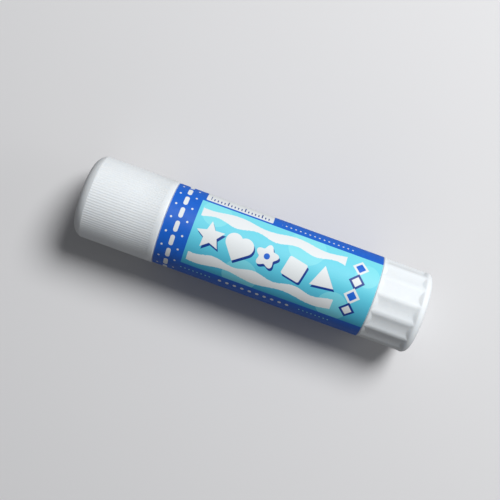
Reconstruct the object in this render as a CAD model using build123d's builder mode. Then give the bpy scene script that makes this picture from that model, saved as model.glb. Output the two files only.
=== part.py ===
# Twist-up glue stick, lying on its side with the cap on.
# Millimetres. X runs along the stick from the cap to the knob, +Z is up, and it rests on z = 0.
# The origin is on that surface, under the middle of the stick's length.
from build123d import *
from math import acos, ceil, cos, degrees, radians, sin
import os

# Outside of the stick
barrel_radius = 11.72
label_thickness = 0.08
cap_proud = 0.2
cap_length = 24.2
sleeve_length = 61.2
knob_length = 14.8

# Gaps and fits
seam_gap = 0.05
moving_gap = 0.3
fit_gap = 0.08
seat_gap = 0.03
overrun = 0.5

# Cap shell
cap_wall = 1.05
crown_wall = 1.5
crown_height = 2.8
crown_arc_radius = 4.0
crown_inner_round = 1.0
lip_length = 1.95
lip_round = 0.35
rib_count = 100
rib_groove_radius = 0.83
rib_depth = 0.06

# Soft plug inside the cap
seal_stand_length = 2.1
seal_disc_thickness = 1.2
seal_skirt_length = 2.5
seal_skirt_wall = 0.8
seal_skirt_chamfer = 0.3
seal_stand_wall = 1.0

# Barrel
barrel_wall = 1.82
mouth_chamfer = 0.25
bead_width = 1.0
bead_offsets = (4.0, 9.0)
floor_thickness = 1.6
end_ring_length = 2.5
end_ring_wall = 1.0
guide_count = 4
guide_width = 1.2
guide_height = 0.6
guide_setback = 5.0

# Label film
label_margin = 0.03
label_wrap_degrees = 358.0

# Screw
screw_lead = 5.0
screw_core_radius = 2.2
screw_crest_radius = 3.0
screw_root_width = 2.2
screw_crest_width = 1.1
screw_tip_length = 1.5
screw_tip_chamfer = 0.5
ridge_pieces_per_turn = 2
collar_radius = 5.0
collar_thickness = 1.5
journal_radius = 2.7
foot_radius = 2.6
foot_length = 6.5

# Carriage
carriage_height = 9.0
carriage_wall = 1.3
carriage_base = 1.4
nut_radius = 4.6
nut_length = 7.5

# Adhesive
glue_face_round = 1.2
glue_tip_cover = 3.97
glue_bore_headroom = 0.8

# Knob
knob_wall = 1.2
knob_rim = 0.3
knob_base_wall = 1.6
flute_count = 14
flute_depth = 0.5
flute_half_degrees = 11.5
flute_turn_degrees = 120.4
flute_end_length = 1.1
flange_thickness = 2.0
flange_round = 1.9
rest_ring_width = 1.8
recess_depth = 0.6
socket_radius = 4.4
web_count = 6
web_thickness = 0.9

# Radii that follow from the barrel's
label_radius = barrel_radius + label_thickness
knob_radius = label_radius
cap_radius = label_radius + cap_proud
cap_bore_radius = cap_radius - cap_wall
neck_radius = cap_bore_radius - moving_gap
bead_radius = cap_bore_radius - fit_gap
bore_radius = barrel_radius - barrel_wall
slider_radius = bore_radius - moving_gap
slot_radius = slider_radius - guide_height
slot_width = guide_width + 2 * moving_gap
knob_bore_radius = knob_radius - flute_depth - knob_wall
end_ring_radius = knob_bore_radius - moving_gap

# Places along the stick
stick_length = cap_length + sleeve_length + knob_length
axis_height = cap_radius
cap_end_x = -stick_length / 2
cap_inner_x = cap_end_x + crown_wall
seal_disc_x = cap_inner_x + seal_stand_length
seal_face_x = seal_disc_x + seal_disc_thickness
mouth_x = seal_face_x + seam_gap
lip_x = cap_end_x + cap_length
shoulder_x = lip_x + seam_gap
knob_face_x = lip_x + sleeve_length
base_x = stick_length / 2
barrel_end_x = knob_face_x - seam_gap
floor_x = barrel_end_x - floor_thickness
collar_x = floor_x - fit_gap
carriage_x = collar_x - collar_thickness - moving_gap
carriage_top_x = carriage_x - carriage_height
glue_face_x = mouth_x + seal_skirt_length + moving_gap

# The screw ends just under the glue's face, and at the top half of the nut is still on its thread.
screw_start_x = collar_x - collar_thickness
screw_tip_x = glue_face_x + glue_tip_cover
screw_end_x = screw_tip_x + screw_tip_length
travel = carriage_x - nut_length / 2 - screw_end_x

# Profiles are drawn in this plane as (x, distance from the axis) and turned about the stick's axis.
stick_plane = Plane(origin=(0, 0, axis_height), x_dir=(1, 0, 0), z_dir=(0, -1, 0))
stick_axis = Axis((0, 0, axis_height), (1, 0, 0))


def section_at(x):
    """Plane square to the stick at x, looking towards the knob, with +Y as its first direction."""
    return Plane(origin=(x, 0, axis_height), x_dir=(0, 1, 0), z_dir=(1, 0, 0))


def ring_profile(x_low, x_high, inner, outer):
    """Corner points of a plain ring's profile, in (x, distance from the axis)."""
    return [(x_low, inner), (x_high, inner), (x_high, outer), (x_low, outer)]


def screw_thread(start_x, end_x, growth):
    """Left-hand helical ridge round the screw's core, swept piece by piece. growth thickens it."""
    root = screw_root_width / 2 + growth
    crest = screw_crest_width / 2 + growth
    height = screw_crest_radius - screw_core_radius + growth
    sunk = screw_core_radius / 4
    with BuildLine() as path:
        Helix(
            pitch=screw_lead,
            height=start_x - end_x,
            radius=screw_core_radius,
            center=(start_x, 0, axis_height),
            direction=(-1, 0, 0),
            lefthand=True,
        )
    helix = path.edges()[0]
    piece_count = ceil((start_x - end_x) / screw_lead * ridge_pieces_per_turn)
    stretches = Wire([helix.trim(n / piece_count, (n + 1) / piece_count) for n in range(piece_count)])
    outward = (helix @ 0 - Vector(start_x, 0, axis_height)).normalized()
    with BuildPart() as thread:
        with BuildSketch(Plane(origin=helix @ 0, x_dir=outward, z_dir=helix % 0)) as tooth:
            with BuildLine():
                Polyline(
                    (-sunk, -root),
                    (0, -root),
                    (height, -crest),
                    (height, crest),
                    (0, root),
                    (-sunk, root),
                    close=True,
                )
            make_face()
        sweep(sections=tooth.sketch, path=stretches, is_frenet=True)
    return thread.part


os.makedirs("parts", exist_ok=True)

# Cap: a cup with a crown that is a shallow arc, with a crease where the ribs begin.
crown_arc_degrees = degrees(acos(1 - crown_height / crown_arc_radius))
crown_flat_radius = cap_radius - crown_arc_radius * sin(radians(crown_arc_degrees))


def crown_point(angle):
    """Point of the crown's arc, from its flat end (0 degrees) towards the ribs."""
    along = crown_arc_radius * (1 - cos(radians(angle)))
    out = crown_arc_radius * sin(radians(angle))
    return (cap_end_x + along, crown_flat_radius + out)


with BuildPart() as cap:
    with BuildSketch(stick_plane):
        with BuildLine():
            Line((cap_end_x, 0), crown_point(0))
            ThreePointArc(crown_point(0), crown_point(crown_arc_degrees / 2), crown_point(crown_arc_degrees))
            Polyline(
                crown_point(crown_arc_degrees),
                (lip_x - lip_round, cap_radius),
                (lip_x, cap_radius - lip_round),
                (lip_x, cap_bore_radius),
                (cap_inner_x + crown_inner_round, cap_bore_radius),
                (cap_inner_x, cap_bore_radius - crown_inner_round),
                (cap_inner_x, 0),
                (cap_end_x, 0),
            )
        make_face()
    revolve(axis=stick_axis)
    with BuildSketch(section_at(cap_end_x - overrun)):
        with PolarLocations(cap_radius - rib_depth + rib_groove_radius, rib_count):
            Circle(rib_groove_radius)
    extrude(amount=cap_length + overrun - lip_length, mode=Mode.SUBTRACT)

# Cap seal: a disc that the barrel's mouth meets, a skirt inside the mouth and a ring behind it.
seal_skirt_radius = bore_radius - fit_gap
seal_inner_radius = seal_skirt_radius - seal_skirt_wall
with BuildPart() as cap_seal:
    with BuildSketch(stick_plane):
        with BuildLine():
            Polyline(
                (seal_disc_x, 0),
                (seal_disc_x, seal_inner_radius - seal_stand_wall),
                (cap_inner_x, seal_inner_radius - seal_stand_wall),
                (cap_inner_x, seal_inner_radius),
                (seal_disc_x, seal_inner_radius),
                (seal_disc_x, cap_bore_radius - seat_gap),
                (seal_face_x, cap_bore_radius - seat_gap),
                (seal_face_x, seal_skirt_radius),
                (mouth_x + seal_skirt_length - seal_skirt_chamfer, seal_skirt_radius),
                (mouth_x + seal_skirt_length, seal_skirt_radius - seal_skirt_chamfer),
                (mouth_x + seal_skirt_length, seal_inner_radius),
                (seal_face_x, seal_inner_radius),
                (seal_face_x, 0),
                close=True,
            )
        make_face()
    revolve(axis=stick_axis)

# Barrel: a tube with a floor, a thinner neck with two grip beads, and a ring that centres the knob.
with BuildPart() as barrel:
    with BuildSketch(stick_plane):
        with BuildLine():
            Polyline(
                (mouth_x, bore_radius),
                (mouth_x, neck_radius - mouth_chamfer),
                (mouth_x + mouth_chamfer, neck_radius),
                (shoulder_x, neck_radius),
                (shoulder_x, barrel_radius),
                (barrel_end_x, barrel_radius),
                (barrel_end_x, end_ring_radius),
                (barrel_end_x + end_ring_length, end_ring_radius),
                (barrel_end_x + end_ring_length, end_ring_radius - end_ring_wall),
                (barrel_end_x, end_ring_radius - end_ring_wall),
                (barrel_end_x, journal_radius + fit_gap),
                (floor_x, journal_radius + fit_gap),
                (floor_x, bore_radius),
                close=True,
            )
        make_face()
        for bead_offset in bead_offsets:
            bead_x = shoulder_x - bead_offset
            with BuildLine():
                Polyline(
                    (bead_x - bead_width, neck_radius - fit_gap),
                    (bead_x - bead_width, neck_radius),
                    (bead_x - bead_width / 4, bead_radius),
                    (bead_x + bead_width / 4, bead_radius),
                    (bead_x + bead_width, neck_radius),
                    (bead_x + bead_width, neck_radius - fit_gap),
                    close=True,
                )
            make_face()
    revolve(axis=stick_axis)
    with BuildSketch(section_at(floor_x + floor_thickness / 2)):
        with PolarLocations(bore_radius, guide_count):
            Rectangle(2 * guide_height, guide_width)
    extrude(amount=mouth_x + guide_setback - floor_x - floor_thickness / 2)

# Label: thin film round the barrel, its two edges nearly meeting along the underside.
underside_plane = Plane(origin=(0, 0, axis_height), x_dir=(1, 0, 0), z_dir=(0, 1, 0))
with BuildPart() as label:
    with BuildSketch(underside_plane):
        with BuildLine():
            Polyline(
                ring_profile(shoulder_x + label_margin, barrel_end_x - label_margin, barrel_radius, label_radius),
                close=True,
            )
        make_face()
    revolve(axis=stick_axis, revolution_arc=label_wrap_degrees)

# Spindle: the screw, its collar on the barrel's floor, and a hexagonal foot pressed into the knob.
with BuildPart() as spindle:
    with BuildSketch(stick_plane):
        with BuildLine():
            Polyline(
                (screw_tip_x, 0),
                (screw_tip_x, screw_core_radius - screw_tip_chamfer),
                (screw_tip_x + screw_tip_chamfer, screw_core_radius),
                (screw_start_x, screw_core_radius),
                (screw_start_x, collar_radius),
                (collar_x, collar_radius),
                (collar_x, journal_radius),
                (knob_face_x, journal_radius),
                (knob_face_x, 0),
                close=True,
            )
        make_face()
    revolve(axis=stick_axis)
    with BuildSketch(section_at(knob_face_x)):
        RegularPolygon(foot_radius, 6)
    extrude(amount=foot_length)
    add(screw_thread(screw_start_x, screw_end_x, 0))

# Carriage: a cup for the foot of the glue, slotted for the barrel's guide ribs, with a nut inside.
# The ridge that cuts the nut starts a whole turn outside it, so it is in step with the screw's own.
nut_thread = screw_thread(screw_start_x + screw_lead, carriage_x - nut_length - screw_lead, moving_gap)
with BuildPart() as carriage:
    with BuildSketch(stick_plane):
        with BuildLine():
            Polyline(
                (carriage_x, screw_core_radius + moving_gap),
                (carriage_x, slider_radius),
                (carriage_top_x, slider_radius),
                (carriage_top_x, slider_radius - carriage_wall),
                (carriage_x - carriage_base, slider_radius - carriage_wall),
                (carriage_x - carriage_base, nut_radius),
                (carriage_x - nut_length, nut_radius),
                (carriage_x - nut_length, screw_core_radius + moving_gap),
                close=True,
            )
        make_face()
    revolve(axis=stick_axis)
    with BuildSketch(section_at(carriage_x + overrun)):
        with PolarLocations(slot_radius + guide_height, guide_count):
            Rectangle(2 * guide_height, slot_width)
    extrude(amount=-carriage_height - 2 * overrun, mode=Mode.SUBTRACT)
    add(nut_thread, mode=Mode.SUBTRACT)

# Adhesive: cast in the cup and round the screw, with a groove over each guide rib.
glue_bore_radius = screw_crest_radius + moving_gap
glue_bore_x = screw_tip_x - glue_bore_headroom
with BuildPart() as adhesive:
    with BuildSketch(stick_plane):
        with BuildLine():
            Polyline(
                (glue_face_x + glue_face_round, slider_radius),
                (carriage_top_x, slider_radius),
                (carriage_top_x, slider_radius - carriage_wall),
                (carriage_x - carriage_base, slider_radius - carriage_wall),
                (carriage_x - carriage_base, nut_radius),
                (carriage_x - nut_length, nut_radius),
                (carriage_x - nut_length, glue_bore_radius),
                (glue_bore_x, glue_bore_radius),
                (glue_bore_x, 0),
                (glue_face_x, 0),
                (glue_face_x, slider_radius - glue_face_round),
            )
            RadiusArc(
                (glue_face_x, slider_radius - glue_face_round),
                (glue_face_x + glue_face_round, slider_radius),
                glue_face_round,
            )
        make_face()
    revolve(axis=stick_axis)
    with BuildSketch(section_at(carriage_top_x)):
        with PolarLocations(slot_radius + guide_height, guide_count):
            Rectangle(2 * guide_height, slot_width)
    extrude(amount=glue_face_x - carriage_top_x - overrun, mode=Mode.SUBTRACT)

# What cuts the knob's flutes: wide round grooves that slope up to the surface at both ends.
flange_x = base_x - flange_thickness
flute_start_x = knob_face_x + knob_rim
flute_floor_radius = knob_radius - flute_depth
flute_chord_share = cos(radians(flute_half_degrees))
flute_centre_radius = (knob_radius**2 - flute_floor_radius**2) / (
    2 * (knob_radius * flute_chord_share - flute_floor_radius)
)
flute_outside = flute_end_length * overrun / flute_depth
flute_inside = flute_end_length + flute_outside
with BuildPart() as flutes:
    with BuildSketch(section_at(cap_end_x)):
        with PolarLocations(flute_centre_radius, flute_count, start_angle=flute_turn_degrees):
            Circle(flute_centre_radius - flute_floor_radius)
    extrude(amount=stick_length)
    with BuildSketch(stick_plane):
        with BuildLine():
            Polyline(
                (flute_start_x - flute_outside, knob_radius + overrun),
                (flute_start_x + flute_inside, flute_floor_radius - overrun),
                (flange_x - flute_inside, flute_floor_radius - overrun),
                (flange_x + flute_outside, knob_radius + overrun),
                close=True,
            )
        make_face()
    revolve(axis=stick_axis, mode=Mode.INTERSECT)

# Knob: a fluted cup with a full round flange at its foot, a socket for the screw and stiffening webs.
knob_inner_x = base_x - recess_depth - knob_base_wall
recess_radius = knob_radius - flange_round - rest_ring_width
web_x = barrel_end_x + end_ring_length + moving_gap
with BuildPart() as knob:
    with BuildSketch(stick_plane):
        with BuildLine():
            Polyline(
                (base_x, knob_radius - flange_round),
                (base_x, recess_radius),
                (base_x - recess_depth, recess_radius),
                (base_x - recess_depth, 0),
                (knob_inner_x, 0),
                (knob_inner_x, knob_bore_radius),
                (knob_face_x, knob_bore_radius),
                (knob_face_x, knob_radius),
                (base_x - flange_round, knob_radius),
            )
            RadiusArc(
                (base_x - flange_round, knob_radius),
                (base_x, knob_radius - flange_round),
                flange_round,
            )
        make_face()
    revolve(axis=stick_axis)
    with BuildSketch(section_at(knob_inner_x)):
        Circle(socket_radius)
    extrude(amount=knob_face_x - knob_inner_x)
    with BuildSketch(section_at(knob_inner_x)):
        with PolarLocations((socket_radius + knob_bore_radius) / 2, web_count):
            Rectangle(knob_bore_radius - socket_radius + 2 * overrun, web_thickness)
    extrude(amount=web_x - knob_inner_x)
    with BuildSketch(section_at(knob_face_x)):
        RegularPolygon(foot_radius + seat_gap, 6)
    extrude(amount=foot_length + seat_gap, mode=Mode.SUBTRACT)
    add(flutes.part, mode=Mode.SUBTRACT)

pieces = {
    "cap": cap,
    "cap_seal": cap_seal,
    "barrel": barrel,
    "label": label,
    "spindle": spindle,
    "carriage": carriage,
    "adhesive": adhesive,
    "knob": knob,
}
for name, piece in pieces.items():
    piece.part.label = name
    export_step(piece.part, f"parts/{name}.step")

print(f"travel {travel:.3f} mm in {travel / screw_lead:.2f} turns, {screw_lead / radians(360):.6f} mm per rad")
print(f"length {stick_length:.2f} mm, axis {axis_height:.2f} mm up, neck {shoulder_x - mouth_x:.2f} mm")
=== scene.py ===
# Twist-up glue stick lying on its side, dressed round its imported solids.
from math import acos, cos, pi, radians, sin, sqrt

import bpy
import bmesh
from mathutils import Matrix, Vector


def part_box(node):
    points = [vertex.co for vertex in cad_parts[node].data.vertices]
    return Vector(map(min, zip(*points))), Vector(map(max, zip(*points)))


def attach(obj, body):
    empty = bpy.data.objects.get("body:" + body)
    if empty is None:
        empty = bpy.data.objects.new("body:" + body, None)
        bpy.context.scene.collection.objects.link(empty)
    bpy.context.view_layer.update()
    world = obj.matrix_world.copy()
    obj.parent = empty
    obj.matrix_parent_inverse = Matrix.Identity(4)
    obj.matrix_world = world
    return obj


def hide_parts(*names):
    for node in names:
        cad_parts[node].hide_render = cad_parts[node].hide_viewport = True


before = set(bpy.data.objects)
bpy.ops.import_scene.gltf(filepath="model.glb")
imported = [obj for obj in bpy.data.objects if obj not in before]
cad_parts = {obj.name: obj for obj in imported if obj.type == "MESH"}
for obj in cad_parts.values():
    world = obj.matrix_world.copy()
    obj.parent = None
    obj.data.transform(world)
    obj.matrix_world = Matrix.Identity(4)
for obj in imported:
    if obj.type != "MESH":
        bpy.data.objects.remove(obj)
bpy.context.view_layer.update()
print("frame loaded:", sorted(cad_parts))

mm = 0.001
capLow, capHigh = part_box("cap")
axisHeight = (capLow.z + capHigh.z) / 2


def inMm(low, high):
    # a node's two ends along the stick and its radius, in mm
    return low.x / mm, high.x / mm, (high.z - low.z) / 2 / mm


def srgb(red, green, blue):
    # a colour given on the 0 to 255 scale, as the shader wants it
    def linear(value):
        share = value / 255
        return share / 12.92 if share <= 0.04045 else ((share + 0.055) / 1.055) ** 2.4
    return (linear(red), linear(green), linear(blue), 1.0)


class Field:
    # a socket that sums, products and comparisons can be written with, in shaders and Geometry Nodes alike
    def __init__(self, tree, socket):
        self.tree = tree
        self.socket = socket

    def math(self, operation, *others, clamp=False):
        node = self.tree.nodes.new("ShaderNodeMath")
        node.operation = operation
        node.use_clamp = clamp
        for place, value in enumerate((self,) + others):
            plug(self.tree, value, node.inputs[place])
        return Field(self.tree, node.outputs[0])

    def __add__(self, other):
        return self.math("ADD", other)

    def __sub__(self, other):
        return self.math("SUBTRACT", other)

    def __rsub__(self, other):
        return self.math("MULTIPLY_ADD", -1.0, other)

    def __mul__(self, other):
        return self.math("MULTIPLY", other)

    def __truediv__(self, other):
        return self.math("DIVIDE", other)

    def __neg__(self):
        return self.math("MULTIPLY", -1.0)

    def root(self):
        return self.math("SQRT")

    def size(self):
        return self.math("ABSOLUTE")

    def atLeast(self, other):
        return self.math("MAXIMUM", other)

    def atMost(self, other):
        return self.math("MINIMUM", other)

    def sine(self):
        return self.math("SINE")

    def cosine(self):
        return self.math("COSINE")

    def wrapped(self, half):
        # folded into -half to half
        return self.math("WRAP", half, -half)


def plug(tree, value, socket):
    if isinstance(value, Field):
        tree.links.new(value.socket, socket)
    elif isinstance(value, bpy.types.NodeSocket):
        tree.links.new(value, socket)
    else:
        socket.default_value = value


def length(x, y):
    return (x * x + y * y).root()


# Meshes

weldDistance = 1e-7
shortestEdge = 1e-8
guideEdge = 0.0015  # radians between the two points that make a guide rib's side steep


def turnedMesh(name, rows, angles):
    # a closed skin turned about the stick's axis, its rows given as (x, radius, grooved) in mm.
    # x and radius may be functions of the angle, which runs from +Y towards +Z.
    points, faces, rings, marks = [], [], [], []
    for x, radius, grooved in rows:
        if radius == 0:
            rings.append([len(points)])
            points.append((x * mm, 0.0, axisHeight))
            marks.append(0.0)
            continue
        ring = []
        for angle in angles:
            r = radius(angle) if callable(radius) else radius
            place = x(angle) if callable(x) else x
            ring.append(len(points))
            points.append((place * mm, r * mm * cos(angle), axisHeight + r * mm * sin(angle)))
            marks.append(float(grooved))
        rings.append(ring)
    pairs = list(zip(rings, rings[1:]))
    if len(rings[0]) > 1:
        pairs.append((rings[-1], rings[0]))
    count = len(angles)
    for one, two in pairs:
        for step in range(count):
            after = (step + 1) % count
            corners = [
                one[step % len(one)],
                one[after % len(one)],
                two[after % len(two)],
                two[step % len(two)],
            ]
            face = list(dict.fromkeys(corners))
            if len(face) > 2:
                faces.append(face)
    mesh = bpy.data.meshes.new(name)
    mesh.from_pydata(points, [], faces)
    layer = mesh.attributes.new("grooved", "FLOAT", "POINT")
    layer.data.foreach_set("value", marks)
    return mesh


def newObject(name, mesh):
    piece = bpy.data.objects.new(name, mesh)
    bpy.context.scene.collection.objects.link(piece)
    return piece


def faceOutwards(mesh):
    work = bmesh.new()
    work.from_mesh(mesh)
    bmesh.ops.remove_doubles(work, verts=work.verts, dist=weldDistance)
    bmesh.ops.dissolve_degenerate(work, edges=work.edges, dist=shortestEdge)
    bmesh.ops.recalc_face_normals(work, faces=work.faces)
    work.to_mesh(mesh)
    work.free()


def finishSurface(piece, sharpAngle):
    # smooth shading that breaks at the moulded edges
    mesh = piece.data
    faceOutwards(mesh)
    marks = mesh.attributes.get("grooved")
    if marks:
        mesh.attributes.remove(marks)
    mesh.shade_smooth()
    mesh.set_sharp_from_angle(angle=radians(sharpAngle))


def arc(centreX, centreR, radius, start, end, steps, grooved=False):
    # points of a round in a profile; angles in degrees, 0 towards +x and 90 away from the axis
    points = []
    for step in range(steps + 1):
        angle = radians(start + (end - start) * step / steps)
        points.append((centreX + radius * cos(angle), centreR + radius * sin(angle), grooved))
    return points


def evenAngles(count, extra=()):
    angles = {round(2 * pi * step / count, 9) for step in range(count)}
    for angle in extra:
        angles.add(round(angle % (2 * pi), 9))
    return sorted(angles)


# Grooves


def groovesTree():
    # cuts straight grooves with a round cutter into the skin's marked points, all round the stick;
    # each groove slopes up to the surface at both ends. All lengths in the tree are in metres.
    clearOfSkin = 0.05
    nearAxis = 1e-6
    marked = 0.5
    tree = bpy.data.node_groups.new("groovesRound", "GeometryNodeTree")
    tree.is_modifier = True
    face = tree.interface
    face.new_socket("Geometry", in_out="INPUT", socket_type="NodeSocketGeometry")
    sizes = ("Count", "Cutter Distance", "Cutter Radius", "Surface Radius", "Depth", "Start X", "End X",
             "End Length", "End Softness", "Phase", "Softness", "Axis Height")
    for name in sizes:
        face.new_socket(name, in_out="INPUT", socket_type="NodeSocketFloat")
    face.new_socket("Material", in_out="INPUT", socket_type="NodeSocketMaterial")
    face.new_socket("Geometry", in_out="OUTPUT", socket_type="NodeSocketGeometry")
    nodes, links = tree.nodes, tree.links
    given = nodes.new("NodeGroupInput")
    result = nodes.new("NodeGroupOutput")

    def value(name):
        return Field(tree, given.outputs[name])

    split = nodes.new("ShaderNodeSeparateXYZ")
    links.new(nodes.new("GeometryNodeInputPosition").outputs[0], split.inputs[0])
    x = Field(tree, split.outputs[0])
    y = Field(tree, split.outputs[1])
    z = Field(tree, split.outputs[2]) - value("Axis Height")
    radius = length(y, z)
    halfPitch = value("Count").math("POWER", -1.0) * pi
    turned = z.math("ARCTAN2", y) - value("Phase")
    fold = turned.math("WRAP", halfPitch, -halfPitch)
    distance, cutter = value("Cutter Distance"), value("Cutter Radius")
    across = distance * fold.sine()
    room = cutter * cutter - across * across
    cut = distance * fold.cosine() - room.atLeast(0.0).root() + room.math("LESS_THAN", 0.0) * clearOfSkin
    inset = (x - value("Start X")).atMost(value("End X") - x)
    slope = value("Surface Radius") - value("Depth") * inset / value("End Length")
    floorRadius = cut.math("SMOOTH_MAX", slope, value("End Softness"))
    newRadius = radius.math("SMOOTH_MIN", floorRadius, value("Softness"))
    share = newRadius / radius.atLeast(nearAxis)
    joined = nodes.new("ShaderNodeCombineXYZ")
    plug(tree, x, joined.inputs[0])
    plug(tree, y * share, joined.inputs[1])
    plug(tree, z * share + value("Axis Height"), joined.inputs[2])
    mark = nodes.new("GeometryNodeInputNamedAttribute")
    mark.data_type = "FLOAT"
    mark.inputs["Name"].default_value = "grooved"
    chosen = nodes.new("FunctionNodeCompare")
    chosen.data_type = "FLOAT"
    chosen.operation = "GREATER_THAN"
    links.new(mark.outputs["Attribute"], chosen.inputs[0])
    chosen.inputs[1].default_value = marked
    move = nodes.new("GeometryNodeSetPosition")
    links.new(given.outputs["Geometry"], move.inputs["Geometry"])
    links.new(chosen.outputs[0], move.inputs["Selection"])
    links.new(joined.outputs[0], move.inputs["Position"])
    solid = nodes.new("GeometryNodeRealizeInstances")
    links.new(move.outputs[0], solid.inputs[0])
    finish = nodes.new("GeometryNodeSetMaterial")
    links.new(solid.outputs[0], finish.inputs["Geometry"])
    links.new(given.outputs["Material"], finish.inputs["Material"])
    links.new(finish.outputs[0], result.inputs[0])
    return tree


def cutGrooves(piece, tree, values):
    # runs the grooves tree on the piece and keeps the result as its plain mesh
    modifier = piece.modifiers.new("grooves", "NODES")
    modifier.node_group = tree
    for item in tree.interface.items_tree:
        if item.in_out == "INPUT" and item.name in values:
            modifier[item.identifier] = values[item.name]
    bpy.context.view_layer.update()
    graph = bpy.context.evaluated_depsgraph_get()
    cut = piece.evaluated_get(graph)
    mesh = bpy.data.meshes.new_from_object(cut, preserve_all_data_layers=True, depsgraph=graph)
    piece.modifiers.clear()
    plain = piece.data
    piece.data = mesh
    bpy.data.meshes.remove(plain)
    mesh.name = piece.name


grooves = groovesTree()

# Finishes


def newMaterial(name):
    material = bpy.data.materials.new(name)
    material.use_nodes = True
    tree = material.node_tree
    shader = tree.nodes["Principled BSDF"]
    return material, tree, shader


def noise(tree, vector, scale, detail=3.0, roughness=0.5):
    node = tree.nodes.new("ShaderNodeTexNoise")
    node.inputs["Scale"].default_value = scale
    node.inputs["Detail"].default_value = detail
    node.inputs["Roughness"].default_value = roughness
    tree.links.new(vector, node.inputs["Vector"])
    return Field(tree, node.outputs[0])


def stretched(tree, vector, scale):
    node = tree.nodes.new("ShaderNodeMapping")
    node.inputs["Scale"].default_value = scale
    tree.links.new(vector, node.inputs["Vector"])
    return node.outputs[0]


def paint(tree, under, mask, colour):
    # lays a colour over another where the mask is 1
    node = tree.nodes.new("ShaderNodeMix")
    node.data_type = "RGBA"
    plug(tree, mask, node.inputs[0])
    plug(tree, under, node.inputs[6])
    plug(tree, colour, node.inputs[7])
    return node.outputs[2]


def bump(tree, shader, height, strength, distance):
    node = tree.nodes.new("ShaderNodeBump")
    node.inputs["Strength"].default_value = strength
    node.inputs["Distance"].default_value = distance
    plug(tree, height, node.inputs["Height"])
    tree.links.new(node.outputs[0], shader.inputs["Normal"])
    return node


def objectPlace(tree):
    return tree.nodes.new("ShaderNodeTexCoord").outputs["Object"]


def radiusOf(tree, place):
    # distance from the stick's axis, in mm
    split = tree.nodes.new("ShaderNodeSeparateXYZ")
    tree.links.new(place, split.inputs[0])
    y = Field(tree, split.outputs[1])
    z = Field(tree, split.outputs[2]) - axisHeight
    return length(y, z) / mm


# A noise is given as its scale, detail and roughness, and a stretch as its share along x, y and z.
plasticGrain = {
    "cloud": (170.0, 4.0, 0.55),
    "cloudLevel": 0.35,
    "cloudContrast": 1.2,
    "groovePatchNoise": (420.0, 3.0, 0.6),
    "groovePatchSpread": 0.7,
    "groovePatchLeast": 0.4,
    "specks": (1500.0, 2.0, 0.5),
    "speckLevel": 0.715,
    "speckSharpness": 30.0,
    "speckStrength": 0.25,
    "grain": (5200.0, 3.0, 0.6),
    "smear": (260.0, 3.0, 0.6),
    "smearStretch": (0.25, 1.0, 1.0),
    "grainRoughness": 0.06,
    "smearRoughness": 0.16,
    "meanRoughness": 0.11,
    "flow": (900.0, 2.0, 0.5),
    "grainHeight": 0.35,
    "flowHeight": 0.65,
    "bumpDistance": 0.00006,
    "ior": 1.49,
    "lightReach": (0.0022, 0.0020, 0.0018),
}


def mouldedPlastic(look):
    # white moulded plastic: faint clouding, a fine satin grain, and colour darkened towards the floors of
    # its grooves
    g = plasticGrain
    material, tree, shader = newMaterial(look["name"])
    place = objectPlace(tree)
    cloud = noise(tree, place, *g["cloud"])
    clouded = (cloud - g["cloudLevel"]) * g["cloudContrast"]
    colour = paint(tree, look["colour"], clouded, look["cloudColour"])
    # the colour darkens in patches with depth into the grooves
    if look["grooveRadius"]:
        depth = (look["grooveRadius"] - radiusOf(tree, place)) / look["grooveDepth"]
        patchiness = noise(tree, place, *g["groovePatchNoise"]) * g["groovePatchSpread"] + g["groovePatchLeast"]
        darkerGrooves = (depth.atLeast(0.0).atMost(1.0) * patchiness * look["grooveDarkening"]).atMost(1.0)
        colour = paint(tree, colour, darkerGrooves, look["speckAndGrooveColour"])
    specks = (noise(tree, place, *g["specks"]) - g["speckLevel"]) * g["speckSharpness"]
    speckMask = specks.atLeast(0.0).atMost(1.0) * g["speckStrength"]
    colour = paint(tree, colour, speckMask, look["speckAndGrooveColour"])
    tree.links.new(colour, shader.inputs["Base Color"])
    grain = noise(tree, place, *g["grain"])
    smear = noise(tree, stretched(tree, place, g["smearStretch"]), *g["smear"])
    rough = grain * g["grainRoughness"] + smear * g["smearRoughness"]
    plug(tree, rough + (look["roughness"] - g["meanRoughness"]), shader.inputs["Roughness"])
    flow = noise(tree, place, *g["flow"])
    relief = grain * g["grainHeight"] + flow * g["flowHeight"]
    bump(tree, shader, relief, look["bump"], g["bumpDistance"])
    shader.inputs["IOR"].default_value = g["ior"]
    shader.inputs["Specular IOR Level"].default_value = look["specular"]
    shader.inputs["Subsurface Weight"].default_value = look["depth"]
    shader.inputs["Subsurface Radius"].default_value = g["lightReach"]
    shader.inputs["Subsurface Scale"].default_value = 1.0
    return material


capLook = {
    "name": "capPlastic",
    "colour": (0.81, 0.85, 0.875, 1.0),
    "cloudColour": (0.77, 0.815, 0.85, 1.0),
    "speckAndGrooveColour": (0.42, 0.41, 0.38, 1.0),
    "grooveDarkening": 0.10,
    "grooveRadius": 12.0,
    "grooveDepth": 0.06,
    "roughness": 0.46,
    "bump": 0.18,
    "specular": 0.5,
    "depth": 0.25,
}
knobLook = dict(capLook, name="knobPlastic", colour=(0.79, 0.83, 0.855, 1.0),
                cloudColour=(0.75, 0.795, 0.83, 1.0), grooveRadius=11.8, grooveDepth=0.5,
                grooveDarkening=0.04, roughness=0.5, specular=0.3)
barrelLook = dict(capLook, name="barrelPlastic", grooveRadius=None, roughness=0.33, bump=0.12)
sealLook = dict(barrelLook, name="sealPlastic", colour=(0.80, 0.80, 0.77, 1.0),
                cloudColour=(0.74, 0.74, 0.71, 1.0), roughness=0.5, depth=0.3)
screwLook = dict(barrelLook, name="screwPlastic", colour=(0.82, 0.83, 0.83, 1.0), roughness=0.42)
carriageLook = dict(screwLook, name="carriagePlastic", cloudColour=(0.76, 0.78, 0.80, 1.0))

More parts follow.
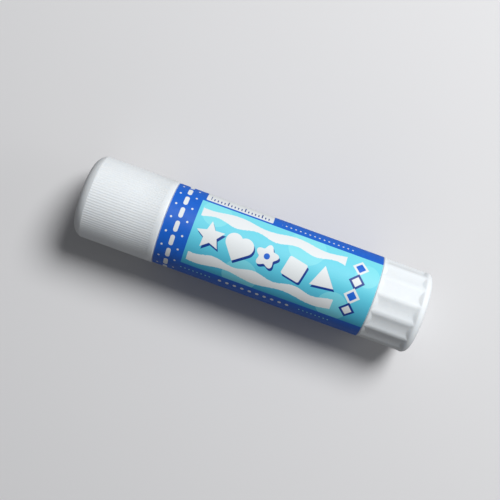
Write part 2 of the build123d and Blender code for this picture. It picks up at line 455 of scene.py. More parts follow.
glueLook = {
    "colour": (0.86, 0.85, 0.79, 1.0),
    "cloudColour": (0.78, 0.77, 0.70, 1.0),
    "cloud": (240.0, 4.0, 0.6),
    "cloudLevel": 0.3,
    "cloudContrast": 1.4,
    "drawn": (1700.0, 3.0, 0.6),
    "drawnStretch": (0.08, 1.0, 1.0),
    "drawnHeight": 0.35,
    "pits": (1300.0, 2.0, 0.5),
    "pitLevel": 0.66,
    "pitSharpness": 9.0,
    "pitDepth": 0.8,
    "soft": (330.0, 3.0, 0.5),
    "softHeight": 0.9,
    "bump": 0.35,
    "bumpDistance": 0.00012,
    "roughness": 0.30,
    "roughnessSpread": 0.22,
    "ior": 1.45,
    "depth": 0.45,
    "lightReach": (0.0035, 0.0031, 0.0024),
}


def glueMaterial():
    # waxy adhesive: it lets light in, and its skin is drawn lengthwise with a few pits
    look = glueLook
    material, tree, shader = newMaterial("glueWax")
    place = objectPlace(tree)
    cloud = noise(tree, place, *look["cloud"])
    clouded = (cloud - look["cloudLevel"]) * look["cloudContrast"]
    colour = paint(tree, look["colour"], clouded, look["cloudColour"])
    tree.links.new(colour, shader.inputs["Base Color"])
    drawn = noise(tree, stretched(tree, place, look["drawnStretch"]), *look["drawn"])
    pits = (noise(tree, place, *look["pits"]) - look["pitLevel"]) * look["pitSharpness"]
    pit = pits.atLeast(0.0).atMost(1.0)
    soft = noise(tree, place, *look["soft"])
    relief = drawn * look["drawnHeight"] + soft * look["softHeight"] - pit * look["pitDepth"]
    bump(tree, shader, relief, look["bump"], look["bumpDistance"])
    plug(tree, soft * look["roughnessSpread"] + look["roughness"], shader.inputs["Roughness"])
    shader.inputs["IOR"].default_value = look["ior"]
    shader.inputs["Subsurface Weight"].default_value = look["depth"]
    shader.inputs["Subsurface Radius"].default_value = look["lightReach"]
    shader.inputs["Subsurface Scale"].default_value = 1.0
    return material


# Label print

# The film laid flat, in mm: u runs from its edge at the cap, v round the stick from the line that faces up,
# and v grows towards the side that the camera's foot is on.
printLook = {
    "royalBlue": srgb(18, 98, 204),
    "turquoise": srgb(102, 208, 228),
    "paleTurquoise": srgb(148, 232, 236),
    "paintedShadeTurquoise": srgb(58, 166, 204),
    "navy": srgb(10, 56, 140),
    "white": srgb(226, 231, 233),
    "edgeSoftness": 0.05,
    "bandEnd": 8.0,
    "panelLow": -10.75,
    "panelHigh": 10.07,
    "pastFilm": 80.0,
    "paintedLightAbove": 0.35,
    "paintedShadeBelow": 0.45,
    "paintedShadeGain": 1.7,
    "discStrength": 0.42,
    "rowCentre": 29.8,
    "rowPitch": 8.2,
    "cutOutSize": 3.25,
    "shadowShift": (0.50, 0.62),
    "flowerRise": -0.30,
    "flowerEye": 0.85,
    "diamondPlace": 55.2,
    "diamondRises": (-6.3, -2.1, 2.1, 6.3),
    "diamondSize": 2.35,
    "diamondRim": 0.62,
}
# each disc is (u, v, radius)
discs = ((13.0, -7.6, 4.2), (24.5, 7.4, 5.0), (39.5, -7.2, 5.4), (51.0, 6.6, 4.4), (57.5, -5.0, 3.4))
# an edge is (length of its wave, swing, distance from the panel's middle), a side is (direction, phase)
ribbonShape = {
    "inner": (11.5, 0.55, 5.35),
    "outer": (17.0, 0.6, 8.15),
    "outerPhase": 1.7,
    "sides": ((-1, 0.4), (1, 2.1)),
    "torn": (190.0, 3.0, 0.6),
    "tornDepth": 0.5,
    "afterBand": 1.1,
    "end": 50.8,
}
# shares of the size of a cut-out shape, and the star's rounding in mm
cutOutShape = {
    "starReach": 1.18,
    "starNotch": 0.56,
    "starRounding": 0.12,
    "heartHalf": 0.52,
    "heartRise": 0.25,
    "petals": 5.0,
    "petalDepth": 0.17,
    "flowerSize": 0.86,
    "flowerSlope": 0.9,
    "squareHalf": 0.86,
    "squareCorner": 0.16,
    "triangleRise": -0.12,
    "triangleSize": 0.60,
    "triangleSlope": (0.866, 0.5),
}
bandShape = {
    "round": 74.14,
    "stitches": 18,
    "centre": 3.9,
    "stitchHalf": 0.95,
    "stitchRadius": 0.62,
    "dotOffset": 2.35,
    "dotRadius": 0.3,
}
ruleShape = {
    "start": 8.76,
    "end": 28.4,
    "near": -11.5,
    "far": -21.5,
    "corner": 0.35,
    "tickPitch": 1.0,
    "tickHalf": 0.16,
    "tickLength": 1.2,
    "tallPitch": 5.0,
    "tallHalf": 0.5,
    "tallExtra": 1.3,
    "inset": 0.7,
    "margin": 1.2,
}
# a row of dots is (v, half its pitch, radius), from and to a place along the film
dotShape = {
    "upper": (-12.6, 0.7, 0.26),
    "upperEnds": (31.0, 52.0),
    "beads": (12.2, 1.1, 0.5),
    "beadEnds": (19.0, 41.0),
    "fine": (12.2, 0.6, 0.22),
    "fineCentre": 30.0,
    "fineEnds": (13.0, 22.0),
    "spotShift": 0.7,
    "spotHalfPitch": 2.0,
    "spotRadius": 0.55,
    "spotStrength": 0.8,
    "backLow": 24.0,
    "backHigh": 35.0,
    "backAfterBand": 2.0,
    "backEnd": 58.0,
}
filmLook = {
    "grain": (900.0, 3.0, 0.6),
    "grainLevel": 0.4,
    "grainContrast": 0.5,
    "edgeMottle": (1500.0, 3.0, 0.65),
    "edgeMottleReach": 0.3,
    "edgeLineWidth": 0.12,
    "rubAndHighlightStrength": 0.5,
    "smear": (230.0, 4.0, 0.6),
    "smearStretch": (0.3, 1.0, 1.0),
    "smearRoughness": 0.22,
    "roughness": 0.38,
    "wave": (260.0, 2.0, 0.4),
    "waveStretch": (0.35, 1.0, 1.0),
    "waveHeight": 0.8,
    "grainHeight": 0.12,
    "bump": 0.22,
    "bumpDistance": 0.00010,
    "ior": 1.5,
    "specular": 0.35,
}
# the flat map holds filmScale mm in one unit, with v = 0 at filmMiddle
filmScale = 100.0
filmMiddle = 0.5


def labelMaterial():
    look, film = printLook, filmLook
    material, tree, shader = newMaterial("labelFilm")
    uv = tree.nodes.new("ShaderNodeUVMap")
    uv.uv_map = "flat"
    split = tree.nodes.new("ShaderNodeSeparateXYZ")
    tree.links.new(uv.outputs[0], split.inputs[0])
    u = Field(tree, split.outputs[0]) * filmScale
    v = (Field(tree, split.outputs[1]) - filmMiddle) * filmScale
    soft = look["edgeSoftness"]

    def inside(distance):
        # 1 inside the outline, 0 outside it
        return (0.5 - distance / (2 * soft)).atLeast(0.0).atMost(1.0)

    def between(value, low, high):
        middle, half = (low + high) / 2, (high - low) / 2
        return (value - middle).size() - half

    def box(lowU, highU, lowV, highV, round=0.0):
        across, around = between(u, lowU, highU) + round, between(v, lowV, highV) + round
        return length(across.atLeast(0.0), around.atLeast(0.0)) + across.atLeast(around).atMost(0.0) - round

    def dotRow(place):
        rowV, halfPitch, radius = place
        return length(u.wrapped(halfPitch), v - rowV) - radius

    def local(centreU, centreV, tilt):
        x, y = u - centreU, v - centreV
        c, s = cos(radians(tilt)), sin(radians(tilt))
        return x * c + y * s, y * c - x * s

    def starOutline(x, y, size):
        reach, notch, half = size * cutOutShape["starReach"], size * cutOutShape["starNotch"], pi / 5
        bearing = x.math("ARCTAN2", -y).wrapped(half).size()
        away = length(x, y)
        px, py = away * bearing.sine(), away * bearing.cosine()
        endX, endY = notch * sin(half), notch * cos(half) - reach
        span = sqrt(endX * endX + endY * endY)
        return (px * -endY + (py - reach) * endX) / span - cutOutShape["starRounding"]

    def heartOutline(x, y, size):
        half = size * cutOutShape["heartHalf"]
        side = x.size()
        up = half * cutOutShape["heartRise"] - y
        lobe = length(side - half, up - half) - half * sqrt(2)
        point = (side + up.size() - 2 * half) / sqrt(2)
        return lobe.atMost(point)

    def flowerOutline(x, y, size):
        petals = (x.math("ARCTAN2", -y) * cutOutShape["petals"]).cosine()
        reach = petals * (size * cutOutShape["petalDepth"])
        return (length(x, y) - reach - size * cutOutShape["flowerSize"]) * cutOutShape["flowerSlope"]

    def squareOutline(x, y, size):
        corner = size * cutOutShape["squareCorner"]
        half = size * cutOutShape["squareHalf"] - corner
        return length((x.size() - half).atLeast(0.0), (y.size() - half).atLeast(0.0)) - corner

    def triangleOutline(x, y, size):
        out, down = cutOutShape["triangleSlope"]
        low = y + size * cutOutShape["triangleRise"]
        return (x.size() * out - low * down).atLeast(low) - size * cutOutShape["triangleSize"]

    # ground colours: royal blue all round, with the turquoise panel on the side that faces up,
    # with painted light along its upper, lit edge and painted shade deepening towards its lower, shaded edge
    grain = noise(tree, objectPlace(tree), *film["grain"])
    blue = paint(tree, look["royalBlue"], (grain - film["grainLevel"]) * film["grainContrast"], look["navy"])
    middle = (look["panelLow"] + look["panelHigh"]) / 2
    panel = box(look["bandEnd"], look["pastFilm"], look["panelLow"], look["panelHigh"])
    down = (v - look["panelLow"]) / (look["panelHigh"] - look["panelLow"])
    # painted light near the panel's upper edge, then painted shade towards its lower edge
    field = paint(tree, look["turquoise"], (look["paintedLightAbove"] - down).atLeast(0.0), look["paleTurquoise"])
    paintedShade = (down - look["paintedShadeBelow"]).atLeast(0.0) * look["paintedShadeGain"]
    field = paint(tree, field, paintedShade, look["paintedShadeTurquoise"])

    # pale discs behind everything in the panel
    pale = None
    for centreU, centreV, size in discs:
        disc = length(u - centreU, v - centreV) - size
        pale = disc if pale is None else pale.atMost(disc)
    field = paint(tree, field, inside(pale) * look["discStrength"], look["paleTurquoise"])

    # two torn-paper ribbons with wavy edges, above and below the row of cut-outs
    def wavy(edge, phase):
        wave, swing, distance = edge
        return (u * (2 * pi / wave) + phase).sine() * swing + distance

    for side, phase in ribbonShape["sides"]:
        away = (v - middle) * side
        inner = wavy(ribbonShape["inner"], phase)
        outer = wavy(ribbonShape["outer"], phase * ribbonShape["outerPhase"])
        torn = (noise(tree, uv.outputs[0], *ribbonShape["torn"]) - 0.5) * ribbonShape["tornDepth"]
        ribbon = (inner - away).atLeast(away - outer) + torn
        start = look["bandEnd"] + ribbonShape["afterBand"]
        ribbon = ribbon.atLeast(between(u, start, ribbonShape["end"]))
        field = paint(tree, field, inside(ribbon), look["white"])

    # a row of five cut-out shapes, each with a blue shadow towards the knob and the table.
    # a shape has its place in the row, its rise from the panel's middle in mm and its tilt in degrees.
    size = look["cutOutSize"]
    row = (
        (starOutline, -2, -0.35, -9.0),
        (heartOutline, -1, 0.35, 8.0),
        (flowerOutline, 0, look["flowerRise"], 4.0),
        (squareOutline, 1, 0.45, 12.0),
        (triangleOutline, 2, 0.10, -7.0),
    )
    shifts = ((look["shadowShift"], look["navy"]), ((0.0, 0.0), look["white"]))
    for (shiftU, shiftV), colour in shifts:
        outline = None
        for shape, place, rise, tilt in row:
            centreU = look["rowCentre"] + place * look["rowPitch"] + shiftU
            x, y = local(centreU, middle + rise + shiftV, tilt)
            drawn = shape(x, y, size)
            outline = drawn if outline is None else outline.atMost(drawn)
        field = paint(tree, field, inside(outline), colour)
    eye = local(look["rowCentre"], middle + look["flowerRise"], 0.0)
    field = paint(tree, field, inside(length(*eye) - look["flowerEye"]), look["royalBlue"])

    # a column of small diamonds by the knob
    for index, rise in enumerate(look["diamondRises"]):
        x, y = u - look["diamondPlace"], v - (middle + rise)
        diamond = (x.size() + y.size() - look["diamondSize"]) / sqrt(2)
        rim, heart = (look["navy"], look["white"]) if index % 2 else (look["white"], look["royalBlue"])
        field = paint(tree, field, inside(diamond), rim)
        field = paint(tree, field, inside(diamond + look["diamondRim"]), heart)

    colour = paint(tree, blue, inside(panel), field)

    # stitched marks round the band by the cap, with dots between them
    band = bandShape
    pitch = band["round"] / band["stitches"]
    step = v.wrapped(pitch / 2)
    aside = (u - band["centre"]).size()
    dash = length(aside.atLeast(0.0), (step.size() - band["stitchHalf"]).atLeast(0.0)) - band["stitchRadius"]
    colour = paint(tree, colour, inside(dash), look["white"])
    midway = (v - pitch / 2).wrapped(pitch / 2)
    dot = length(aside - band["dotOffset"], midway) - band["dotRadius"]
    colour = paint(tree, colour, inside(dot), look["white"])

    # a white strip with a plain millimetre rule on the upper edge, and a dotted line after it
    rule = ruleShape
    strip = box(rule["start"], rule["end"], rule["far"], rule["near"], rule["corner"])
    colour = paint(tree, colour, inside(strip), look["white"])
    tick = u.wrapped(rule["tickPitch"] / 2).size() - rule["tickHalf"]
    tall = (u.wrapped(rule["tallPitch"] / 2).size() - rule["tallHalf"]).math("LESS_THAN", 0.0)
    reach = tall * rule["tallExtra"] + rule["tickLength"]
    fromEdge = v - (rule["near"] - rule["inset"])
    ruled = tick.atLeast(fromEdge.size() - reach)
    ruled = ruled.atLeast(between(u, rule["start"] + rule["margin"], rule["end"] - rule["margin"]))
    ruled = ruled.atLeast(fromEdge)
    colour = paint(tree, colour, inside(ruled), look["navy"])
    dots = dotRow(dotShape["upper"]).atLeast(between(u, *dotShape["upperEnds"]))
    colour = paint(tree, colour, inside(dots), look["white"])

    # small marks along the lower edge
    beads = dotRow(dotShape["beads"]).atLeast(between(u, *dotShape["beadEnds"]))
    colour = paint(tree, colour, inside(beads), look["white"])
    ends = (u - dotShape["fineCentre"]).size()
    fine = dotRow(dotShape["fine"]).atLeast(between(ends, *dotShape["fineEnds"]))
    colour = paint(tree, colour, inside(fine), look["paleTurquoise"])

    # spotted ground on the side that lies down
    halfPitch = dotShape["spotHalfPitch"]
    spots = length((u + dotShape["spotShift"]).wrapped(halfPitch), v.wrapped(halfPitch))
    spots = spots - dotShape["spotRadius"]
    back = (dotShape["backLow"] - v.size()).atLeast(v.size() - dotShape["backHigh"])
    start = look["bandEnd"] + dotShape["backAfterBand"]
    back = back.atLeast(between(u, start, dotShape["backEnd"]))
    colour = paint(tree, colour, inside(spots.atLeast(back)) * dotShape["spotStrength"], look["turquoise"])

    # white edges where the film meets the cap and the knob: partly rubbed print, partly a painted highlight
    # line along each edge
    low, high = inMm(*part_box("label"))[:2]
    edgeMottle = noise(tree, objectPlace(tree), *film["edgeMottle"])
    edge = (film["edgeLineWidth"] - u).atLeast(u - (high - low - film["edgeLineWidth"]))
    edge = edge + (edgeMottle - 0.5) * film["edgeMottleReach"]
    colour = paint(tree, colour, inside(-edge) * film["rubAndHighlightStrength"], look["white"])
    tree.links.new(colour, shader.inputs["Base Color"])

    smear = noise(tree, stretched(tree, objectPlace(tree), film["smearStretch"]), *film["smear"])
    plug(tree, smear * film["smearRoughness"] + film["roughness"], shader.inputs["Roughness"])
    wave = noise(tree, stretched(tree, objectPlace(tree), film["waveStretch"]), *film["wave"])
    relief = wave * film["waveHeight"] + grain * film["grainHeight"]
    bump(tree, shader, relief, film["bump"], film["bumpDistance"])
    shader.inputs["IOR"].default_value = film["ior"]
    shader.inputs["Specular IOR Level"].default_value = film["specular"]
    return material


def addMaterial(piece, material):
    piece.data.materials.clear()
    piece.data.materials.append(material)


# Cap

capShape = {
    "crownHeight": 2.8,
    "crownArc": 4.0,
    "crownWall": 1.5,
    "wall": 1.05,
    "lipLength": 1.95,
    "lipRound": 0.35,
    "ribCount": 100,
    "cutterRadius": 0.83,
    "ribDepth": 0.06,
    "ribSoftness": 0.03,
    "ribRows": (0.004, 0.02, 0.08, 0.3, 0.65, 1.0),
    "ribPoints": (-0.46, -0.41, -0.35, -0.25, -0.13, 0.0, 0.13, 0.25, 0.35, 0.41, 0.46, 0.5),
    "crownSteps": 22,
    "crownSpacing": 1.6,
    "endRing": 0.7,
    "lipStep": 0.03,
    "lipBevel": 0.18,
    "innerRound": 1.0,
    "innerRoundMiddle": 0.3,
    "gateRadius": 1.2,
    "gateDepth": 0.12,
    "gateEdge": ((1.0, 0.8), (0.3, 1.0), (0.0, 1.15)),
    "sharpAngle": 48,
}


def makeCap():
    s = capShape
    low, high, radius = inMm(capLow, capHigh)
    sweepAngle = acos(1 - s["crownHeight"] / s["crownArc"])
    flat = radius - s["crownArc"] * sin(sweepAngle)
    bore = radius - s["wall"]
    inner = low + s["crownWall"]
    rows = [(low + s["gateDepth"], 0, False)]
    for depthShare, radiusShare in s["gateEdge"]:
        rows.append((low + s["gateDepth"] * depthShare, s["gateRadius"] * radiusShare, False))
    rows.append((low, flat * s["endRing"], False))
    steps = s["crownSteps"]
    for step in range(steps + 1):
        share = 1 - (1 - step / steps) ** s["crownSpacing"]
        angle = sweepAngle * share
        rows.append((low + s["crownArc"] * (1 - cos(angle)), flat + s["crownArc"] * sin(angle), True))
    ribStart, ribEnd = low + s["crownHeight"], high - s["lipLength"]
    for share in s["ribRows"]:
        rows.append((ribStart + (ribEnd - ribStart) * share, radius, True))
    rows.append((ribEnd + s["lipStep"], radius, False))
    rows += arc(high - s["lipRound"], radius - s["lipRound"], s["lipRound"], 90, 0, 5)
    rows += [
        (high, bore + s["lipBevel"], False),
        (high - s["lipBevel"], bore, False),
        (inner + s["innerRound"], bore, False),
        (inner + s["innerRoundMiddle"], bore - s["innerRoundMiddle"], False),
        (inner, bore - s["innerRound"], False),
        (inner, 0, False),
    ]
    pitch = 2 * pi / s["ribCount"]
    angles = [pitch * (rib + share) for rib in range(s["ribCount"]) for share in s["ribPoints"]]
    piece = newObject("cap_shell", turnedMesh("cap_shell", rows, angles))
    cutGrooves(piece, grooves, {
        "Count": float(s["ribCount"]),
        "Cutter Distance": (radius - s["ribDepth"] + s["cutterRadius"]) * mm,
        "Cutter Radius": s["cutterRadius"] * mm,
        "Surface Radius": radius * mm,
        "Depth": s["ribDepth"] * mm,
        "Start X": -1.0,
        "End X": 1.0,
        "End Length": mm,
        "Phase": 0.0,
        "Softness": s["ribSoftness"] * mm,
        "Axis Height": axisHeight,
        "Material": mouldedPlastic(capLook),
    })
    finishSurface(piece, s["sharpAngle"])
    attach(piece, "cap")
    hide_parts("cap")
    return piece


makeCap()
print("cap made")

# Knob

knobShape = {
    "fluteCount": 14,
    "fluteDepth": 0.5,
    "fluteHalfAngle": 11.5,
    "fluteTurn": 120.4,
    "fluteSoftness": 0.20,
    "fluteEndLength": 1.1,
    "fluteEndSoftness": 0.12,
    "ridgeDrop": 0.10,
    "flangeThickness": 2.0,
    "flangeRound": 1.9,
    "restRing": 1.8,
    "recess": 0.6,
    "baseWall": 1.6,
    "rim": 0.3,
    "rimRound": 0.06,
    "wall": 1.2,
    "hub": 4.4,
    "socket": 2.63,
    "socketDepth": 6.53,
    "webs": 6,
    "webThickness": 0.9,
    "webStart": 2.75,
    "webEdge": 0.002,
    "mouthBevel": 0.12,
    "slopeRows": 18,
    "slopeReach": 1.4,
    "flutePoints": 12,
    "gateRadius": 1.4,
    "gateRise": 0.10,
    "gateTop": (0.3, 0.8),
    "recessFoot": ((0.0, -0.25), (0.08, -0.06)),
    "recessLip": ((-0.12, 0.0), (-0.03, 0.05), (0.0, 0.15)),
    "sharpAngle": 40,
}


def makeKnob():
    s = knobShape
    low, high, radius = inMm(*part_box("knob"))
    floorRadius = radius - s["fluteDepth"]
    chord = cos(radians(s["fluteHalfAngle"]))
    distance = (radius ** 2 - floorRadius ** 2) / (2 * (radius * chord - floorRadius))
    start, end = low + s["rim"], high - s["flangeThickness"]
    inner = high - s["recess"] - s["baseWall"]
    bore = floorRadius - s["wall"]
    recess = radius - s["flangeRound"] - s["restRing"]
    apothem = s["socket"] * cos(pi / 6)

    def hexagon(angle):
        away = (angle + pi / 6) % (pi / 3) - pi / 6
        away = away if abs(away) < pi / 6 else pi / 6
        return apothem / cos(pi / 6 - abs(away))

    def webFace(angle):
        away = abs((angle + pi / s["webs"]) % (2 * pi / s["webs"]) - pi / s["webs"])
        return low + s["webStart"] if away < webHalf else inner

    def ridge(x):
        # the ridges between the flutes lie a little under the flange
        share = min(1.0, max(0.0, min(x - start, end - x) / s["fluteEndLength"]))
        return radius - s["ridgeDrop"] * share * share * (3 - 2 * share)

    webHalf = s["webThickness"] / 2 / ((s["hub"] + bore) / 2)
    recessX = high - s["recess"]
    rows = [(recessX, 0, False)]
    rows += [(recessX + s["gateRise"], s["gateRadius"] * share, False) for share in s["gateTop"]]
    rows.append((recessX, s["gateRadius"], False))
    rows += [(recessX + along, recess + out, False) for along, out in s["recessFoot"]]
    rows += [(high + along, recess + out, False) for along, out in s["recessLip"]]
    rows += arc(high - s["flangeRound"], radius - s["flangeRound"], s["flangeRound"], 0, 90, 12)
    sloped = s["fluteEndLength"] * s["slopeReach"]
    steps = s["slopeRows"]
    places = [end - sloped * step / steps for step in range(steps + 1)]
    places += [end - sloped + (start - end + 2 * sloped) * share for share in (0.25, 0.5, 0.75)]
    places += [start + sloped * (1 - step / steps) for step in range(steps + 1)]
    rows += [(x, ridge(x), True) for x in places]
    rows += arc(low + s["rimRound"], radius - s["rimRound"], s["rimRound"], 90, 180, 4)
    rows += [
        (low, bore + s["mouthBevel"], False),
        (low + s["mouthBevel"], bore, False),
        (webFace, bore, False),
        (webFace, s["hub"], False),
        (low, s["hub"], False),
        (low, hexagon, False),
        (low + s["socketDepth"], hexagon, False),
        (low + s["socketDepth"], 0, False),
    ]
    pitch = 2 * pi / s["fluteCount"]
    phase = radians(s["fluteTurn"])
    edge = radians(s["fluteHalfAngle"]) / pitch
    points = s["flutePoints"]
    shares = [edge * step / points for step in range(-points - 1, points + 2)] + [0.5]
    flutes = [phase + pitch * (flute + share) for flute in range(s["fluteCount"]) for share in shares]
    webs = []
    nudge = s["webEdge"]
    for web in range(s["webs"]):
        for offset in (-webHalf - nudge, -webHalf + nudge, webHalf - nudge, webHalf + nudge):
            webs.append(2 * pi / s["webs"] * web + offset)
    angles = sorted({round(angle % (2 * pi), 6) for angle in flutes + webs})
    piece = newObject("knob_shell", turnedMesh("knob_shell", rows, angles))
    cutGrooves(piece, grooves, {
        "Count": float(s["fluteCount"]),
        "Cutter Distance": distance * mm,
        "Cutter Radius": (distance - floorRadius) * mm,
        "Surface Radius": radius * mm,
        "Depth": s["fluteDepth"] * mm,
        "Start X": start * mm,
        "End X": end * mm,
        "End Length": s["fluteEndLength"] * mm,
        "End Softness": s["fluteEndSoftness"] * mm,
        "Phase": phase,
        "Softness": s["fluteSoftness"] * mm,
        "Axis Height": axisHeight,
        "Material": mouldedPlastic(knobLook),
    })
    finishSurface(piece, s["sharpAngle"])
    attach(piece, "drive")
    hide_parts("knob")
    return piece


makeKnob()
print("knob made")

# Barrel

barrelShape = {
    "wall": 1.82,
    "neckInset": 1.07,
    "neckLength": 19.4,
    "mouthRound": 0.25,
    "mouthBevel": 0.12,
    "beads": (4.0, 9.0),
    "beadWidth": 1.0,
    "beadHeight": 0.22,
    "beadSteps": 6,
    "neckFillet": (0.15, 0.12),
    "shoulderBevel": 0.1,
    "endBevel": 0.03,
    "ringBevel": 0.15,
    "endRing": 9.8,
    "endRingLength": 2.5,
    "endRingWall": 1.0,
    "floor": 1.6,
    "journal": 2.78,
    "guides": 4,
    "guideWidth": 1.2,
    "guideHeight": 0.6,
    "guideSetback": 5.0,
    "guideStep": 0.01,
    "pointsRound": 192,
    "sharpAngle": 35,
}


def guideAngles(width, radius, count):
    # angles just inside and just outside the edges of each guide rib
    half = width / 2 / radius
    return [2 * pi / count * rib + offset for rib in range(count)
            for offset in (-half - guideEdge, -half, -half / 2, half / 2, half, half + guideEdge)]


def nearGuide(angle, half, count):
    return abs((angle + pi / count) % (2 * pi / count) - pi / count) <= half + 1e-4


def makeBarrel():
    s = barrelShape
    low, high, radius = inMm(*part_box("barrel"))
    bore = radius - s["wall"]
    neck = radius - s["neckInset"]
    shoulder = low + s["neckLength"]
    end = high - s["endRingLength"]
    floorX = end - s["floor"]
    half = s["guideWidth"] / 2 / bore

    def guided(angle):
        return bore - s["guideHeight"] if nearGuide(angle, half, s["guides"]) else bore

    rows = [(low + s["mouthBevel"], bore, False), (low, bore + s["mouthBevel"], False)]
    rows += arc(low + s["mouthRound"], neck - s["mouthRound"], s["mouthRound"], 180, 90, 4)
    for offset in sorted(s["beads"], reverse=True):
        centre = shoulder - offset
        for step in range(-s["beadSteps"], s["beadSteps"] + 1):
            share = step / s["beadSteps"]
            rise = s["beadHeight"] * (0.5 + 0.5 * cos(pi * share))
            rows.append((centre + s["beadWidth"] * share, neck + rise, False))
    back, rise = s["neckFillet"]
    rows += [
        (shoulder - back, neck, False),
        (shoulder, neck + rise, False),
        (shoulder, radius - s["shoulderBevel"], False),
        (shoulder + s["shoulderBevel"], radius, False),
        (end - s["endBevel"], radius, False),
        (end, radius - s["endBevel"], False),
        (end, s["endRing"], False),
        (high - s["ringBevel"], s["endRing"], False),
        (high, s["endRing"] - s["ringBevel"], False),
        (high, s["endRing"] - s["endRingWall"], False),
        (end, s["endRing"] - s["endRingWall"], False),
        (end, s["journal"], False),
        (floorX, s["journal"], False),
        (floorX, guided, False),
        (low + s["guideSetback"], guided, False),
        (low + s["guideSetback"] - s["guideStep"], bore, False),
    ]
    angles = evenAngles(s["pointsRound"], guideAngles(s["guideWidth"], bore, s["guides"]))
    piece = newObject("barrel_tube", turnedMesh("barrel_tube", rows, angles))
    addMaterial(piece, mouldedPlastic(barrelLook))
    finishSurface(piece, s["sharpAngle"])
    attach(piece, "barrel")
    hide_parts("barrel")
    return piece


makeBarrel()
print("barrel made")

# Adhesive

glueShape = {
    "faceRound": 1.2,
    "slotDepth": 0.6,
    "slotWidth": 1.8,
    "slots": 4,
    "cupRadius": 8.3,
    "nutRadius": 4.6,
    "bore": 3.3,
    "tipRoom": 3.17,
    "nutLength": 7.5,
    "faceRows": (0.15, 0.35, 0.55, 0.75, 0.92),
    "sideRows": (0.02, 0.25, 0.5, 0.75, 1.0),
    "pointsRound": 160,
    "sharpAngle": 40,
}


def makeGlue():
    s = glueShape
    low, high, radius = inMm(*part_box("adhesive"))
    cupTop, cupEnd = (corner.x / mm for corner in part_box("carriage"))
    nutTop = cupEnd - s["nutLength"]
    slotFloor = radius - s["slotDepth"]
    half = s["slotWidth"] / 2 / (radius - s["slotDepth"] / 2)

    def slotted(size):
        return lambda angle: min(size, slotFloor) if nearGuide(angle, half, s["slots"]) else size

    rows = [(low, 0, False)]
    for share in s["faceRows"]:
        rows.append((low, (radius - s["faceRound"]) * share, False))
    for x, r, grooved in arc(low + s["faceRound"], radius - s["faceRound"], s["faceRound"], 180, 90, 9):
        rows.append((x, slotted(r), grooved))
    for share in s["sideRows"]:
        rows.append((low + s["faceRound"] + (cupTop - low - s["faceRound"]) * share, slotted(radius), False))
    rows += [
        (cupTop, s["cupRadius"], False),
        (high, s["cupRadius"], False),
        (high, s["nutRadius"], False),
        (nutTop, s["nutRadius"], False),
        (nutTop, s["bore"], False),
        (low + s["tipRoom"], s["bore"], False),
        (low + s["tipRoom"], 0, False),
    ]
    slotEdges = guideAngles(s["slotWidth"], radius - s["slotDepth"] / 2, s["slots"])
    angles = evenAngles(s["pointsRound"], slotEdges)
    piece = newObject("glue_bar", turnedMesh("glue_bar", rows, angles))
    addMaterial(piece, glueMaterial())
    finishSurface(piece, s["sharpAngle"])
    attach(piece, "lift")
    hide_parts("adhesive")
    return piece


makeGlue()
print("adhesive made")

# Label

labelShape = {"thickness": 0.08, "wrap": 358.0, "stepsRound": 240, "stepsAlong": 12, "sharpAngle": 40}


def makeLabel():
    # a thin film wrapped round the barrel, with its two edges nearly meeting underneath
    s = labelShape
    low, high, radius = inMm(*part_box("label"))
    across, along = s["stepsRound"], s["stepsAlong"]
    points, flat, faces = [], [], []

    def layer(size):
        # the angle is 0 where the film faces up, and it grows towards -Y
        first = len(points)
        for i in range(across + 1):
            angle = radians(s["wrap"]) * (i / across - 0.5)
            for j in range(along + 1):
                x = low + (high - low) * j / along
                points.append((x * mm, -size * mm * sin(angle), axisHeight + size * mm * cos(angle)))
                flat.append(((x - low) / filmScale, radius * angle / filmScale + filmMiddle))
        return first

    outer, inner = layer(radius), layer(radius - s["thickness"])
    width = along + 1
    for i in range(across):
        for j in range(along):
            a, b = outer + i * width + j, outer + (i + 1) * width + j
            faces.append((a, b, b + 1, a + 1))
            a, b = inner + i * width + j, inner + (i + 1) * width + j
            faces.append((a, a + 1, b + 1, b))
        for j in (0, along):
            a, b = outer + i * width + j, outer + (i + 1) * width + j
            c, d = inner + i * width + j, inner + (i + 1) * width + j
            faces.append((a, c, d, b) if j == 0 else (a, b, d, c))
    for i in (0, across):
        for j in range(along):
            a, b = outer + i * width + j, inner + i * width + j
            faces.append((a, a + 1, b + 1, b) if i == 0 else (a, b, b + 1, a + 1))
    mesh = bpy.data.meshes.new("label_wrap")
    mesh.from_pydata(points, [], faces)
    layerUv = mesh.uv_layers.new(name="flat")
    for loop in mesh.loops:
        layerUv.data[loop.index].uv = flat[loop.vertex_index]
    piece = newObject("label_wrap", mesh)
    addMaterial(piece, labelMaterial())
    finishSurface(piece, s["sharpAngle"])
    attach(piece, "barrel")
    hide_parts("label")
    return piece


makeLabel()
print("label made")

# Pieces kept from the frame

for node, look in (("cap_seal", sealLook), ("spindle", screwLook), ("carriage", carriageLook)):
    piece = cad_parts[node]
    material = mouldedPlastic(look)
    if not piece.material_slots:
        piece.data.materials.append(material)
    for slot in piece.material_slots:
        slot.material = material
print("inner pieces finished")

# Floor, light and camera

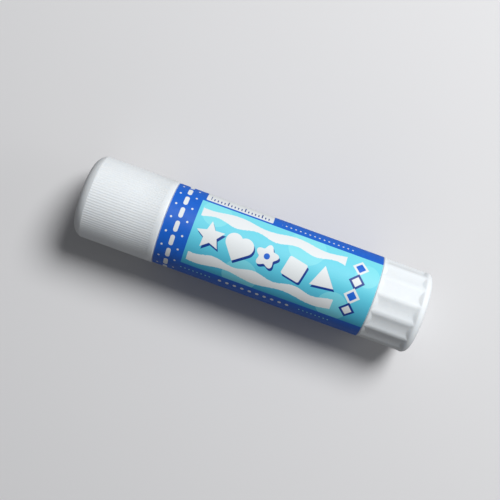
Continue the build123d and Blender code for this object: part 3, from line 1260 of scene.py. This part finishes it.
# A lamp's place is (distance, towards the image's right, towards its top, up), as seen from the stick.
studio = {
    "floorHalf": 2.0,
    "floorRoughness": 0.9,
    "floorSpecular": 0.1,
    "floorColour": (0.72, 0.72, 0.73, 1.0),
    "floorBounce": (0.30, 0.29, 0.29, 1.0),
    "worldColour": (0.93, 0.95, 1.0, 1.0),
    "backdropColour": (0.9, 0.9, 0.91, 1.0),
    "worldStrength": 0.10,
    "lamps": (
        {"name": "key", "place": (0.75, 0.57, 0.51, 1.0), "size": 0.36, "power": 5.8},
        {"name": "side", "place": (0.60, 1.0, -0.10, 0.22), "size": 0.30, "power": 0.7},
        {"name": "fill", "place": (0.75, -0.10, -1.0, 0.50), "size": 0.50, "power": 0.30},
    ),
    "cameraHeight": 0.300,
    "cameraLens": 76.32,
    "cameraPlace": (0.00030, 0.0),
    "aimShift": (-0.00127, 0.00074),
    "cameraTurn": 19.94,
    "sensorWidth": 36.0,
    "clipStart": 0.01,
}


def makeStudio():
    s = studio
    mesh = bpy.data.meshes.new("floor")
    half = s["floorHalf"]
    corners = [(-half, -half, 0), (half, -half, 0), (half, half, 0), (-half, half, 0)]
    mesh.from_pydata(corners, [], [(0, 1, 2, 3)])
    floor = newObject("floor", mesh)
    material, tree, shader = newMaterial("floorPaper")
    ray = tree.nodes.new("ShaderNodeLightPath")
    shown = Field(tree, ray.outputs["Is Camera Ray"])
    colour = paint(tree, s["floorBounce"], shown, s["floorColour"])
    tree.links.new(colour, shader.inputs["Base Color"])
    shader.inputs["Roughness"].default_value = s["floorRoughness"]
    shader.inputs["Specular IOR Level"].default_value = s["floorSpecular"]
    addMaterial(floor, material)

    world = bpy.data.worlds.new("studio")
    bpy.context.scene.world = world
    world.use_nodes = True
    tree = world.node_tree
    background = tree.nodes["Background"]
    ray = tree.nodes.new("ShaderNodeLightPath")
    seen = Field(tree, ray.outputs["Is Camera Ray"])
    colour = paint(tree, s["worldColour"], seen, s["backdropColour"])
    tree.links.new(colour, background.inputs["Color"])
    plug(tree, seen * (1.0 - s["worldStrength"]) + s["worldStrength"], background.inputs["Strength"])

    turn = radians(s["cameraTurn"])
    right = Vector((cos(turn), sin(turn), 0.0))
    up = Vector((-sin(turn), cos(turn), 0.0))
    target = Vector((0.0, 0.0, axisHeight))
    for look in s["lamps"]:
        distance, x, y, z = look["place"]
        towards = (right * x + up * y + Vector((0, 0, z))).normalized()
        lamp = bpy.data.lights.new(look["name"], "AREA")
        lamp.shape = "DISK"
        lamp.size = look["size"]
        lamp.energy = look["power"]
        placed = bpy.data.objects.new(look["name"], lamp)
        bpy.context.scene.collection.objects.link(placed)
        turned = towards.to_track_quat("Z", "Y").to_matrix().to_4x4()
        placed.matrix_world = Matrix.Translation(target + towards * distance) @ turned

    data = bpy.data.cameras.new("camera")
    data.lens = s["cameraLens"]
    data.sensor_width = s["sensorWidth"]
    data.clip_start = s["clipStart"]
    camera = bpy.data.objects.new("camera", data)
    bpy.context.scene.collection.objects.link(camera)
    place = Vector((s["cameraPlace"][0], s["cameraPlace"][1], axisHeight + s["cameraHeight"]))
    aim = Vector((place.x + s["aimShift"][0], place.y + s["aimShift"][1], axisHeight))
    back = (place - aim).normalized()
    side = up.cross(back).normalized()
    top = back.cross(side)
    camera.matrix_world = Matrix.Translation(place) @ Matrix((side, top, back)).transposed().to_4x4()
    bpy.context.scene.camera = camera
    bpy.context.scene.view_settings.view_transform = "Standard"


makeStudio()
print("studio ready")
